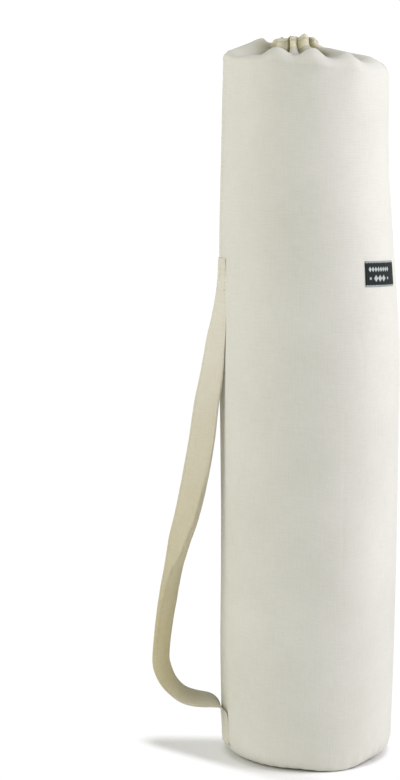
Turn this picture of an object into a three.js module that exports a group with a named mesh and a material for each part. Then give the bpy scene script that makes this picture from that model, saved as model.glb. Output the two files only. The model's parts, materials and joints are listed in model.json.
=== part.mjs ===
// A tall canvas bag for a rolled exercise mat. It stands on its round base with its drawstring mouth
// gathered in, and its flat shoulder strap hangs free at one side.
// Millimetres and degrees, +Z up. The origin is the centre of the base on the floor. Bearings turn from +X
// towards +Y. The side seam and both ends of the strap are at the -X side.
import * as THREE from "three";

// Cloth and body
const baseDiameter = 160;
const shoulderHeight = 649; // floor to the edge where the cloth turns in over the end of the roll
const clothThickness = 1.6;
const pieceGap = 0.3; // between two pieces that are sewn or laid together
const footRound = 3; // radius of the bottom edge
const footTurns = [0, 45, 90]; // degrees round the bottom edge, one for each section
const footLift = 24; // how much rounder the bottom edge is where it is pushed in
const footLiftBearing = 220;
const footLiftSpread = 72; // degrees to each side
const seamWidth = 14; // folded side seam
const seamRise = 0.8;
const seamBearing = 180;

// Gathered crown
const shoulderRound = 9; // mean radius of the shoulder
const shoulderRoundSwing = 5; // rounder on the low side, sharper on the high side
const shoulderTilt = 3.5; // the high side of the shoulder stands this far over its mean height
const highSideBearing = 170;
const crownRise = 20.5; // shoulder to the rim of the mouth
const neckDiameter = 33; // across the gathered neck, without the folds
const mouthOffset = 10; // the gathered mouth sits off the axis
const mouthBearing = 166;
const pleatRise = 8; // ridge of a pleat over the hollow beside it
const pleatSpread = 17; // degrees from a ridge to its foot at the shoulder
const pleatOverlap = 0.62; // at the neck it is this share of the way to the next ridge
const pleatPeak = 1.6; // sharpness of a ridge at the shoulder; it is 1, a round one, at the neck

// Folded hem round the mouth, which holds the drawstring
const hemThickness = 2.6;

// Shoulder strap
const strapWidth = 30;
const strapThickness = 2.4;
const strapReach = 57; // furthest that its middle hangs from the wall
const strapTop = 470; // height of the upper sewn end
const strapFoot = 9; // height of the lower sewn end

// Woven label
const labelWidth = 45;
const labelHeight = 23;
const labelThickness = 0.9;
const labelMiddle = 455; // height of its middle
const labelBearing = 311.5;

// Faces round the body, and steps along and across the strap and the label
const facesRound = 72;
const strapSteps = 2; // for each stretch between two stations
const strapFaces = 6;
const strapFineSteps = 8; // for each face, to work out its bend
const labelFaces = 10;

// The upright wall: height as a share of shoulderHeight, girth and sideways lean as shares of the base
// radius. The roll inside fills the middle most, and the empty cloth over it is slimmer.
const bodySections = [
  { height: 0, girth: 0.997, lean: 0 },
  { height: 0.072, girth: 1.011, lean: 0.004 },
  { height: 0.162, girth: 1.0275, lean: 0.013 },
  { height: 0.282, girth: 1.031, lean: 0.0275 },
  { height: 0.46, girth: 1.04, lean: 0.036 },
  { height: 0.575, girth: 1.046, lean: 0.039 },
  { height: 0.661, girth: 1.0275, lean: 0.025 },
  { height: 0.747, girth: 1.0025, lean: -0.001 },
  { height: 0.861, girth: 0.9625, lean: -0.016 },
  { height: 1, girth: 0.944, lean: 0.007 },
];

// The shoulder's turn: degrees from upright, and the ridges' share of pleatRise there.
const shoulderTurns = [
  { turn: 0, ridge: 0 },
  { turn: 38, ridge: 0.3 },
  { turn: 68, ridge: 0.65 },
];

// The crown: inward is the share of the way from the shoulder to the neck, rise the share of crownRise,
// ridge and lift the shares of pleatRise that a pleat stands out from the cloth and raises its rim.
const crownSections = [
  { inward: 0, rise: 0, ridge: 0.88, lift: 0 },
  { inward: 0.2, rise: 0.04, ridge: 1, lift: 0 },
  { inward: 0.47, rise: 0.13, ridge: 1, lift: 0 },
  { inward: 0.72, rise: 0.28, ridge: 0.85, lift: 0 },
  { inward: 0.88, rise: 0.45, ridge: 0.55, lift: 0 },
  { inward: 0.97, rise: 0.65, ridge: 0.34, lift: 0.12 },
  { inward: 1, rise: 0.84, ridge: 0.28, lift: 0.3 },
  { inward: 0.98, rise: 1, ridge: 0.28, lift: 0.5 },
];
const pleatLevel = 0.5; // a pleat with this rim value neither raises nor lowers the rim
const hemFirstSection = 4; // the hem covers the crown from here to the rim

// Pleats: the bearing of each ridge at the shoulder and at the neck, as the gathers twist a little, and its
// height at four places between them, as shares of what the crown's table gives there. Rim is the share of
// the table's lift by which it raises the mouth's edge.
const pleatPlaces = [
  { at: 0, key: "shoulder" },
  { at: 0.5, key: "midway" },
  { at: 0.8, key: "near" },
  { at: 1, key: "neck" },
];
const pleats = [
  { bearing: 25, neckBearing: 30, shoulder: 0.9, midway: 1.1, near: 1.1, neck: 1, rim: 0.4 },
  { bearing: 55, neckBearing: 60, shoulder: 1, midway: 0.8, near: 0.8, neck: 0.9, rim: 1.1 },
  { bearing: 90, neckBearing: 92, shoulder: 0.8, midway: 1.2, near: 1.2, neck: 1.1, rim: 0.3 },
  { bearing: 120, neckBearing: 118, shoulder: 1.1, midway: 0.9, near: 0.9, neck: 1, rim: 0.2 },
  { bearing: 150, neckBearing: 142, shoulder: 0.8, midway: 1, near: 1.3, neck: 1, rim: 0.2 },
  { bearing: 180, neckBearing: 168, shoulder: 0.7, midway: 1.55, near: 2.25, neck: 1.2, rim: 0.3 },
  { bearing: 235, neckBearing: 208, shoulder: 1.1, midway: 0.6, near: 0.6, neck: 1, rim: 0.3 },
  { bearing: 248, neckBearing: 247, shoulder: 0, midway: 0.1, near: 0.5, neck: 0.9, rim: 0.7 },
  { bearing: 260, neckBearing: 281, shoulder: 1.1, midway: 0.8, near: 0.8, neck: 1.1, rim: 1.25 },
  { bearing: 290, neckBearing: 318, shoulder: 0.9, midway: 0.8, near: 0.8, neck: 1, rim: 0.5 },
  { bearing: 320, neckBearing: 345, shoulder: 0.7, midway: 0.8, near: 0.9, neck: 0.8, rim: 0.1 },
  { bearing: 350, neckBearing: 6, shoulder: 0.5, midway: 0.9, near: 0.9, neck: 0.9, rim: 0.2 },
];

// The strap from its upper end down. height is the share of the way from strapFoot up to strapTop, reach the
// share of strapReach from the wall. The strap creases lengthwise: facingA and facingB are the degrees that
// its two sides have turned from the wall's own direction, crease is side A's share of the width, and hug
// bends the strap round the wall where it is sewn down. Thick is the share of strapThickness, less where the
// stitches press its ends flat.
const strapStations = [
  { height: 1, reach: 0, facingA: 0, facingB: 0, crease: 0.5, hug: 1, thick: 0.25 },
  { height: 0.957, reach: 0, facingA: 2, facingB: 2, crease: 0.5, hug: 1, thick: 0.8 },
  { height: 0.915, reach: 0.006, facingA: 5, facingB: 5, crease: 0.5, hug: 0.9, thick: 1 },
  { height: 0.874, reach: 0.03, facingA: 9, facingB: 9, crease: 0.5, hug: 0.6, thick: 1 },
  { height: 0.835, reach: 0.055, facingA: 14, facingB: 14, crease: 0.6, hug: 0.4, thick: 1 },
  { height: 0.796, reach: 0.085, facingA: 20, facingB: 20, crease: 0.7, hug: 0.3, thick: 1 },
  { height: 0.755, reach: 0.12, facingA: 28, facingB: 28, crease: 0.8, hug: 0.1, thick: 1 },
  { height: 0.714, reach: 0.18, facingA: 37, facingB: 38, crease: 0.9, hug: 0, thick: 1 },
  { height: 0.633, reach: 0.29, facingA: 41, facingB: 60, crease: 0.95, hug: 0, thick: 1 },
  { height: 0.553, reach: 0.421, facingA: 41, facingB: 110, crease: 0.9, hug: 0, thick: 1 },
  { height: 0.471, reach: 0.581, facingA: 41, facingB: 140, crease: 0.78, hug: 0, thick: 1 },
  { height: 0.432, reach: 0.68, facingA: 41, facingB: 146, crease: 0.68, hug: 0, thick: 1 },
  { height: 0.399, reach: 0.745, facingA: 41, facingB: 148, crease: 0.54, hug: 0, thick: 1 },
  { height: 0.367, reach: 0.8, facingA: 41, facingB: 142, crease: 0.3, hug: 0, thick: 1 },
  { height: 0.308, reach: 0.885, facingA: 42, facingB: 139, crease: 0.17, hug: 0, thick: 1 },
  { height: 0.241, reach: 0.96, facingA: 45, facingB: 141, crease: 0.12, hug: 0, thick: 1 },
  { height: 0.18, reach: 1, facingA: 60, facingB: 143, crease: 0.1, hug: 0, thick: 1 },
  { height: 0.15, reach: 0.935, facingA: 95, facingB: 147, crease: 0.1, hug: 0, thick: 1 },
  { height: 0.121, reach: 0.79, facingA: 132, facingB: 156, crease: 0.15, hug: 0, thick: 1 },
  { height: 0.102, reach: 0.6, facingA: 155, facingB: 166, crease: 0.25, hug: 0, thick: 1 },
  { height: 0.093, reach: 0.36, facingA: 170, facingB: 174, crease: 0.4, hug: 0, thick: 1 },
  { height: 0.089, reach: 0.15, facingA: 176, facingB: 178, crease: 0.5, hug: -0.3, thick: 0.85 },
  { height: 0.077, reach: 0.03, facingA: 179, facingB: 179, crease: 0.5, hug: -0.8, thick: 0.55 },
  { height: 0.063, reach: 0, facingA: 180, facingB: 180, crease: 0.5, hug: -1, thick: 0.35 },
  { height: 0, reach: 0, facingA: 180, facingB: 180, crease: 0.5, hug: -1, thick: 0.3 },
];
const strapCreaseSoftness = 0.12; // width of the crease, as a share of the strap's width

const radians = THREE.MathUtils.degToRad;
const smooth = THREE.MathUtils.smoothstep;

// One column of a table, read between its rows.
function readTable(table, by, column, at) {
  const next = table.findIndex((row) => row[by] > at);
  if (next < 1) return table[next < 0 ? table.length - 1 : 0][column];
  const low = table[next - 1];
  const high = table[next];
  return THREE.MathUtils.mapLinear(at, low[by], high[by], low[column], high[column]);
}

// Degrees from one bearing to another the short way, from -180 to 180.
function turnBetween(from, to) {
  return THREE.MathUtils.euclideanModulo(to - from + 180, 360) - 180;
}

// A bump of height 1 and a given half width. A higher power makes it narrower at its top.
function bump(distance, halfWidth, power) {
  if (Math.abs(distance) >= halfWidth) return 0;
  return ((1 + Math.cos((Math.PI * distance) / halfWidth)) / 2) ** power;
}

// Distance of the wall's outer face from the bag's own axis, which leans a little.
function wallRadius(bearing, height) {
  const girth = readTable(bodySections, "height", "girth", height / shoulderHeight);
  const radius = (baseDiameter / 2) * girth;
  const fromSeam = radians(turnBetween(seamBearing, bearing)) * radius;
  return radius + seamRise * bump(fromSeam, seamWidth / 2, 1);
}

function wallLean(height) {
  return (baseDiameter / 2) * readTable(bodySections, "height", "lean", height / shoulderHeight);
}

function footRoundAt(bearing) {
  return footRound + footLift * bump(turnBetween(footLiftBearing, bearing), footLiftSpread, 1);
}

function ridgeBearing(pleat, inward) {
  return pleat.bearing + turnBetween(pleat.bearing, pleat.neckBearing) * inward;
}

// The pleats' share in one place: inward is 0 at the shoulder and 1 at the neck, and heightOf gives the
// height of one pleat's ridge there.
function pleatShape(bearing, inward, heightOf) {
  let total = 0;
  pleats.forEach((pleat, index) => {
    const ridge = ridgeBearing(pleat, inward);
    const turn = turnBetween(ridge, bearing);
    const beside = pleats.at((index + (turn < 0 ? -1 : 1)) % pleats.length);
    const spacing = Math.abs(turnBetween(ridge, ridgeBearing(beside, inward)));
    const halfWidth = THREE.MathUtils.lerp(pleatSpread, spacing * pleatOverlap, inward);
    total += heightOf(pleat) * bump(turn, halfWidth, THREE.MathUtils.lerp(pleatPeak, 1, inward));
  });
  return total;
}

function pleatHeight(bearing, inward) {
  return pleatShape(bearing, inward, (pleat) => {
    const places = pleatPlaces.map(({ at, key }) => ({ at, height: pleat[key] }));
    return readTable(places, "at", "height", inward);
  });
}

// The cloth's outer face at one bearing, from the bottom edge to the rim of the mouth, as radius and height
// of each section, with how far a pleat lifts it and how far its centre has moved over to the mouth.
function clothProfile(bearing) {
  const profile = [];
  const foot = footRoundAt(bearing);
  footTurns.forEach((turn) => {
    const radius = wallRadius(bearing, 0) - foot * (1 - Math.sin(radians(turn)));
    const height = foot * (1 - Math.cos(radians(turn)));
    profile.push({ radius, height, ridge: 0, pull: 0 });
  });
  bodySections.slice(1, -1).forEach((section) => {
    const height = section.height * shoulderHeight;
    profile.push({ radius: wallRadius(bearing, height), height, ridge: 0, pull: 0 });
  });
  const highSide = Math.cos(radians(turnBetween(highSideBearing, bearing)));
  const round = shoulderRound - shoulderRoundSwing * highSide;
  const top = shoulderHeight + shoulderTilt * highSide;
  shoulderTurns.forEach(({ turn, ridge }) => {
    const height = top - round * (1 - Math.sin(radians(turn)));
    const radius = wallRadius(bearing, shoulderHeight) - round * (1 - Math.cos(radians(turn)));
    profile.push({ radius, height, ridge: ridge * pleatRise * pleatHeight(bearing, 0), pull: 0 });
  });
  const shoulderRadius = wallRadius(bearing, shoulderHeight) - round;
  crownSections.forEach(({ inward, rise, ridge, lift }) => {
    const rimLift = pleatShape(bearing, inward, (pleat) => pleat.rim) - pleatLevel;
    const level = THREE.MathUtils.lerp(top, shoulderHeight, inward);
    profile.push({
      radius: THREE.MathUtils.lerp(shoulderRadius, neckDiameter / 2, inward),
      height: level + rise * crownRise + lift * pleatRise * rimLift,
      ridge: ridge * pleatRise * pleatHeight(bearing, inward),
      pull: inward,
    });
  });
  return profile;
}

// A point of the cloth: proud is its distance outside the outer face, square to the unpleated profile.
function clothPoint(bearing, profile, section, proud) {
  const here = profile[section];
  const before = profile[Math.max(section - 1, 0)];
  const after = profile[Math.min(section + 1, profile.length - 1)];
  const along = new THREE.Vector2(after.radius - before.radius, after.height - before.height);
  along.normalize();
  const stand = here.ridge + proud;
  const radius = here.radius + stand * along.y;
  const height = here.height - stand * along.x;
  const moved = mouthOffset * here.pull;
  const x = radius * Math.cos(radians(bearing)) + moved * Math.cos(radians(mouthBearing));
  const y = radius * Math.sin(radians(bearing)) + moved * Math.sin(radians(mouthBearing));
  return new THREE.Vector3(x + wallLean(here.height), y, height);
}

function geometryOf(points, triangles) {
  const geometry = new THREE.BufferGeometry();
  const positions = points.flatMap((point) => point.toArray());
  geometry.setAttribute("position", new THREE.Float32BufferAttribute(positions, 3));
  geometry.setIndex(triangles);
  geometry.computeVertexNormals();
  return geometry;
}

// A closed skin through rings of points, the last ring joined to the first. Each four-sided face is split at
// its shorter diagonal, so that skins that lie together are split alike.
function ringShell(rings) {
  const around = rings[0].length;
  const triangles = [];
  rings.forEach((ring, row) => {
    const nextRow = (row + 1) % rings.length;
    ring.forEach((point, column) => {
      const next = (column + 1) % around;
      const [a, b] = [row * around + column, row * around + next];
      const [c, d] = [nextRow * around + next, nextRow * around + column];
      const across = point.distanceTo(rings[nextRow][next]);
      const back = ring[next].distanceTo(rings[nextRow][column]);
      if (across < back) triangles.push(a, b, c, a, c, d);
      else triangles.push(a, b, d, b, c, d);
    });
  });
  return geometryOf(rings.flat(), triangles);
}

// A closed slab between two grids of points. The front faces the way of rows crossed with columns.
function gridSlab(front, back) {
  const rows = front.length;
  const columns = front[0].length;
  const points = [...front.flat(), ...back.flat()];
  const at = (side, row, column) => side * rows * columns + row * columns + column;
  const triangles = [];
  const addQuad = (a, b, c, d) => triangles.push(a, b, c, a, c, d);
  for (let row = 0; row < rows - 1; row += 1) {
    for (let column = 0; column < columns - 1; column += 1) {
      const quad = [
        [row, column],
        [row + 1, column],
        [row + 1, column + 1],
        [row, column + 1],
      ];
      addQuad(...quad.map(([r, c]) => at(0, r, c)));
      addQuad(...quad.map(([r, c]) => at(1, r, c)).reverse());
    }
    addQuad(at(0, row, 0), at(1, row, 0), at(1, row + 1, 0), at(0, row + 1, 0));
    const last = columns - 1;
    addQuad(at(0, row + 1, last), at(1, row + 1, last), at(1, row, last), at(0, row, last));
  }
  for (let column = 0; column < columns - 1; column += 1) {
    addQuad(at(0, 0, column + 1), at(1, 0, column + 1), at(1, 0, column), at(0, 0, column));
    const last = rows - 1;
    addQuad(at(0, last, column), at(1, last, column), at(1, last, column + 1), at(0, last, column + 1));
  }
  return geometryOf(points, triangles);
}

const bearings = Array.from({ length: facesRound }, (_, face) => (360 / facesRound) * face);
const profiles = bearings.map(clothProfile);

function clothRing(section, proud) {
  return bearings.map((bearing, face) => clothPoint(bearing, profiles[face], section, proud));
}

// The bag's body: one wall from the bottom edge up over the shoulder to the rim of the mouth.
function makeCanvasTube() {
  const sections = profiles[0].map((_, section) => section);
  const outside = sections.map((section) => clothRing(section, 0));
  const inside = sections.map((section) => clothRing(section, -clothThickness)).reverse();
  return ringShell([...outside, ...inside]);
}

// The folded hem lies round the neck and follows its folds.
function makeDrawstringCasing() {
  const sections = profiles[0].map((_, section) => section).slice(hemFirstSection - crownSections.length);
  const outside = sections.map((section) => clothRing(section, pieceGap + hemThickness));
  const inside = sections.map((section) => clothRing(section, pieceGap)).reverse();
  return ringShell([...outside, ...inside]);
}

// The bottom disc lies within the body's turned-in edge.
function makeBasePanel() {
  const corners = bearings.map((bearing) => {
    const edge = wallRadius(bearing, 0) - footRoundAt(bearing) - clothThickness / 2 - pieceGap;
    return new THREE.Vector2(edge * Math.cos(radians(bearing)), edge * Math.sin(radians(bearing)));
  });
  const panel = new THREE.Shape(corners);
  return new THREE.ExtrudeGeometry(panel, { depth: clothThickness, bevelEnabled: false });
}

// Middle of the strap at one station. It hangs in the upright plane through the side seam.
function strapMiddle({ height, reach, thick }) {
  const z = THREE.MathUtils.lerp(strapFoot, strapTop, height);
  const seat = wallRadius(seamBearing, z) + pieceGap + (thick * strapThickness) / 2;
  return new THREE.Vector3(wallLean(z) - seat - reach * strapReach, 0, z);
}

// Direction of the strap's outer face at a share of its width.
function strapFacing(station, share) {
  const edge = strapCreaseSoftness / 2;
  const turned = smooth(share, station.crease - edge, station.crease + edge);
  const wrap = THREE.MathUtils.radToDeg(strapWidth / (baseDiameter / 2)) * (share - 0.5);
  return THREE.MathUtils.lerp(station.facingA, station.facingB, turned) + station.hug * wrap;
}

// One cross-section of the strap, as its middle surface's points and outward directions.
function strapSection(station, middle, travel) {
  const outward = new THREE.Vector3(travel.z, 0, -travel.x);
  const sideways = new THREE.Vector3(0, -1, 0);
  const facing = (share) => radians(strapFacing(station, share));
  const points = [new THREE.Vector3()];
  const directions = [];
  for (let face = 0; face <= strapFaces; face += 1) {
    const angle = facing(face / strapFaces);
    const direction = outward.clone().multiplyScalar(Math.cos(angle));
    directions.push(direction.addScaledVector(sideways, Math.sin(angle)));
    if (face === strapFaces) break;
    const end = points[face].clone();
    for (let step = 0; step < strapFineSteps; step += 1) {
      const across = facing((face + (step + 0.5) / strapFineSteps) / strapFaces);
      const length = strapWidth / strapFaces / strapFineSteps;
      end.addScaledVector(outward, -Math.sin(across) * length);
      end.addScaledVector(sideways, Math.cos(across) * length);
    }
    points.push(end);
  }
  const chordMiddle = points[0].clone().add(points[strapFaces]).multiplyScalar(0.5);
  const hugged = points[strapFaces / 2].clone();
  const shift = middle.clone().sub(chordMiddle.lerp(hugged, Math.abs(station.hug)));
  points.forEach((point) => point.add(shift));
  return { points, directions };
}

// The shoulder strap: a flat folded band that leaves the wall, creases, turns over and comes back to it.
function makeShoulderStrap() {
  const curve = new THREE.CatmullRomCurve3(strapStations.map(strapMiddle));
  const stretches = strapStations.length - 1;
  const front = [];
  const back = [];
  for (let step = 0; step <= stretches * strapSteps; step += 1) {
    const low = Math.min(Math.floor(step / strapSteps), stretches - 1);
    const share = step / strapSteps - low;
    const station = {};
    Object.keys(strapStations[low]).forEach((column) => {
      const pair = [strapStations[low][column], strapStations[low + 1][column]];
      station[column] = THREE.MathUtils.lerp(pair[0], pair[1], share);
    });
    const at = step / (stretches * strapSteps);
    const section = strapSection(station, curve.getPoint(at), curve.getTangent(at));
    const half = (station.thick * strapThickness) / 2;
    const offset = (sign) =>
      section.points.map((point, index) =>
        point.clone().addScaledVector(section.directions[index], sign * half),
      );
    front.push(offset(1));
    back.push(offset(-1));
  }
  return gridSlab(front, back);
}

// The label lies on the wall and bends with it.
function makeWovenLabel() {
  const levels = [-0.5, 0, 0.5];
  const layer = (proud) =>
    Array.from({ length: labelFaces + 1 }, (_, face) =>
      levels.map((level) => {
        const z = labelMiddle + level * labelHeight;
        const across = THREE.MathUtils.radToDeg(labelWidth / wallRadius(labelBearing, labelMiddle));
        const bearing = labelBearing + across * (face / labelFaces - 0.5);
        const radius = wallRadius(bearing, z) + proud;
        const x = wallLean(z) + radius * Math.cos(radians(bearing));
        return new THREE.Vector3(x, radius * Math.sin(radians(bearing)), z);
      }),
    );
  return gridSlab(layer(pieceGap + labelThickness), layer(pieceGap));
}

function addPiece(group, name, geometry, colour, roughness) {
  const material = new THREE.MeshStandardMaterial({ color: colour, roughness, metalness: 0 });
  const mesh = new THREE.Mesh(geometry, material);
  mesh.name = name;
  group.add(mesh);
}

const bag = new THREE.Group();
addPiece(bag, "canvas_tube", makeCanvasTube(), 0xe2dfcf, 0.92);
addPiece(bag, "drawstring_casing", makeDrawstringCasing(), 0xd6d2bb, 0.92);
addPiece(bag, "base_panel", makeBasePanel(), 0xd9d5c2, 0.92);
addPiece(bag, "shoulder_strap", makeShoulderStrap(), 0xd8d1ae, 0.9);
addPiece(bag, "woven_label", makeWovenLabel(), 0x1c2620, 0.75);

export default bag;
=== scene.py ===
# Yoga mat bag: a tall round bag of natural cotton canvas with a gathered drawstring mouth, a flat canvas
# shoulder strap and a small woven label. Shapes are worked out in millimetres and degrees, then made in
# metres. A bearing is an angle round the bag, counted from +X towards +Y.
import json
import math

import bpy
import numpy as np
from mathutils import Matrix, Vector, noise

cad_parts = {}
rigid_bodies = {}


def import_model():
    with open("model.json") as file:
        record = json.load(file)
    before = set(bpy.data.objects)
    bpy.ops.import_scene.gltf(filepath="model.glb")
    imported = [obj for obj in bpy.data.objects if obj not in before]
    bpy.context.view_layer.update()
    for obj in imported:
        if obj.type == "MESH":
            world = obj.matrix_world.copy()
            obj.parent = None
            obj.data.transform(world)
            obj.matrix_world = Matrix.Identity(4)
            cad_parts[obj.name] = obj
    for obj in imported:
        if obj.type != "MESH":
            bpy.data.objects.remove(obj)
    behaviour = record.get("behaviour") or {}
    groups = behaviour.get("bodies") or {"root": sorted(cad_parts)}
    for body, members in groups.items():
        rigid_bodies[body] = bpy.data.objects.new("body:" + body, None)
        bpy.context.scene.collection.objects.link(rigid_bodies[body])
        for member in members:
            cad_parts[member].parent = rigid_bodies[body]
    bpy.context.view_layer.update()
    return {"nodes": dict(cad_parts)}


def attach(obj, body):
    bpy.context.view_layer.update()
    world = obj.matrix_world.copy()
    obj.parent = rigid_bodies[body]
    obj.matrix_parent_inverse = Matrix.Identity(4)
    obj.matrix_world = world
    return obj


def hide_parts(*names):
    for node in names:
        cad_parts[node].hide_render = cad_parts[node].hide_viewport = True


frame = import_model()
print("frame loaded:", sorted(frame["nodes"]))


def hexColour(code):
    # sRGB hex to the linear values that Blender's sockets take
    channels = [int(code[i:i + 2], 16) / 255 for i in (1, 3, 5)]
    linear = [c / 12.92 if c <= 0.04045 else ((c + 0.055) / 1.055) ** 2.4 for c in channels]
    return (*linear, 1.0)


def readCurve(xs, ys, at):
    # smooth curve through the rows of a table that never swings past them
    xs, ys, at = np.asarray(xs, float), np.asarray(ys, float), np.asarray(at, float)
    step = np.diff(xs)
    rise = np.diff(ys) / step
    slope = np.zeros(len(xs))
    slope[0], slope[-1] = rise[0], rise[-1]
    same = rise[:-1] * rise[1:] > 0
    near, far = 2 * step[1:] + step[:-1], step[1:] + 2 * step[:-1]
    with np.errstate(divide="ignore", invalid="ignore"):
        mean = (near + far) / (near / rise[:-1] + far / rise[1:])
    slope[1:-1] = np.where(same, mean, 0)
    at = np.clip(at, xs[0], xs[-1])
    i = np.clip(np.searchsorted(xs, at, side="right") - 1, 0, len(step) - 1)
    t = (at - xs[i]) / step[i]
    a = (1 + 2 * t) * (1 - t) ** 2 * ys[i] + t * (1 - t) ** 2 * step[i] * slope[i]
    return a + t * t * (3 - 2 * t) * ys[i + 1] + t * t * (t - 1) * step[i] * slope[i + 1]


def column(table, name):
    return [row[name] for row in table]


def turnBetween(start, end):
    return (np.asarray(end) - start + 180) % 360 - 180


def bump(distance, halfWidth, power=1.0):
    share = np.clip(np.abs(distance) / halfWidth, 0, 1)
    return ((1 + np.cos(np.pi * share)) / 2) ** power


def smoothStep(value, low, high):
    t = np.clip((value - low) / (high - low), 0, 1)
    return t * t * (3 - 2 * t)


def cloudAt(points, scale, seed, octaves=2):
    # smooth noise from about -1 to 1 at points in millimetres, with forms of about the scale's size
    shift = Vector((seed * 17.3, seed * 5.1, seed * 9.7))
    flat = np.asarray(points, float).reshape(-1, 3) / scale
    values = [noise.fractal(Vector(p) + shift, 1.0, 2.0, octaves) for p in flat]
    return np.array(values).reshape(np.shape(points)[:-1])


def unit(vectors):
    return vectors / np.maximum(np.linalg.norm(vectors, axis=-1, keepdims=True), 1e-12)


def roundedEdge(share):
    # quarter round, from 0 at an edge to 1 where the share reaches 1
    return np.sqrt(1 - (1 - np.clip(share, 0, 1)) ** 2)


def makeMesh(name, points, faces, uvs=None):
    # points in millimetres, uvs in metres of cloth, one pair for each point
    mesh = bpy.data.meshes.new(name)
    mesh.from_pydata((np.asarray(points) / 1000).tolist(), [], faces)
    if uvs is not None:
        layer = mesh.uv_layers.new(name="clothMetres")
        corners = np.empty(len(mesh.loops), np.int32)
        mesh.loops.foreach_get("vertex_index", corners)
        layer.data.foreach_set("uv", np.asarray(uvs, np.float32)[corners].ravel())
    mesh.polygons.foreach_set("use_smooth", [True] * len(mesh.polygons))
    mesh.update()
    piece = bpy.data.objects.new(name, mesh)
    bpy.context.scene.collection.objects.link(piece)
    return piece


def gridFaces(rows, columns, closeRows=False, closeColumns=False, first=0):
    faces = []
    for r in range(rows if closeRows else rows - 1):
        s = (r + 1) % rows
        for c in range(columns if closeColumns else columns - 1):
            d = (c + 1) % columns
            faces.append(tuple(first + k for k in (r * columns + c, r * columns + d,
                                                   s * columns + d, s * columns + c)))
    return faces


def addNode(tree, kind, inputs=None, **settings):
    # an input is a number, a colour, a socket, or a node whose first output is meant
    node = tree.nodes.new("ShaderNode" + kind)
    for name, value in settings.items():
        setattr(node, name, value)
    for key, value in (inputs or {}).items():
        if isinstance(value, bpy.types.Node):
            value = value.outputs[0]
        if isinstance(value, bpy.types.NodeSocket):
            tree.links.new(value, node.inputs[key])
        else:
            node.inputs[key].default_value = value
    return node


def newMaterial(name, **numbers):
    material = bpy.data.materials.new(name)
    material.use_nodes = True
    tree = material.node_tree
    tree.nodes.clear()
    shader = addNode(tree, "BsdfPrincipled", numbers)
    out = addNode(tree, "OutputMaterial", {"Surface": shader})
    return material, tree, shader, out


def setPointValues(piece, name, values):
    # one number for each point, which a material reads by its name
    layer = piece.data.attributes.new(name, "FLOAT", "POINT")
    layer.data.foreach_set("value", np.asarray(values, np.float32).ravel())


def dress(piece, material, slotName, *nodes):
    piece.data.materials.append(material)
    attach(piece, "root")
    if nodes:
        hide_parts(*nodes)
    return piece


# Unbleached plain-weave cotton duck. To the eye: warm off-white, quite matt, a fine even grain of crossing
# threads, slightly thicker slubs along them, and a few tan flecks of seed husk.
canvas = {
    "warpSpacing": 2.0,  # mm; the real 0.55 mm is under a pixel, so it is drawn coarser
    "weftSpacing": 2.3,  # mm; the real one is 0.7 mm
    "slubLength": 14.0,  # mm
    "slubWidth": 1.6,  # mm; the real ones are 0.8 mm
    "fleckSpacing": 19.0,  # mm
    "threadRelief": 0.07,  # mm
    "roughness": 0.9,
    "sheen": 0.12,
    "ior": 1.47,  # cellulose fibre
    "light": "#e9e9dd",
    "dark": "#dfdfd1",
    "hollow": "#8a8362",  # deep between the folds, where the light is only what the cloth gives back
    "fleck": "#a8936d",
}
strapCloth = {
    "light": "#ebe8d8",
    "dark": "#e1dcc8",
    "lightShadeTone": "#d9d0a9",  # painted shade: yellower and darker on the strap's free length than at its sewn ends
    "darkShadeTone": "#cac095",
    "shadeFrom": (0.09, 0.36),  # metres from its upper end
    "shadeFades": (0.40, 0.46),  # and where that starts to fade and is gone
}
# Painted light: the hem is the bag's own duck, drawn paler so that it looks as bright as lit cloth where
# little light reaches it under the mouth; its hollow colour is painted shade.
paintedPaleHemCloth = {
    "light": "#f7f3e0",
    "dark": "#eee8cb",
    "hollow": "#989160",
}


waveRepeat = 314.16  # mm in which a wave texture of scale 1 repeats


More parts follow.
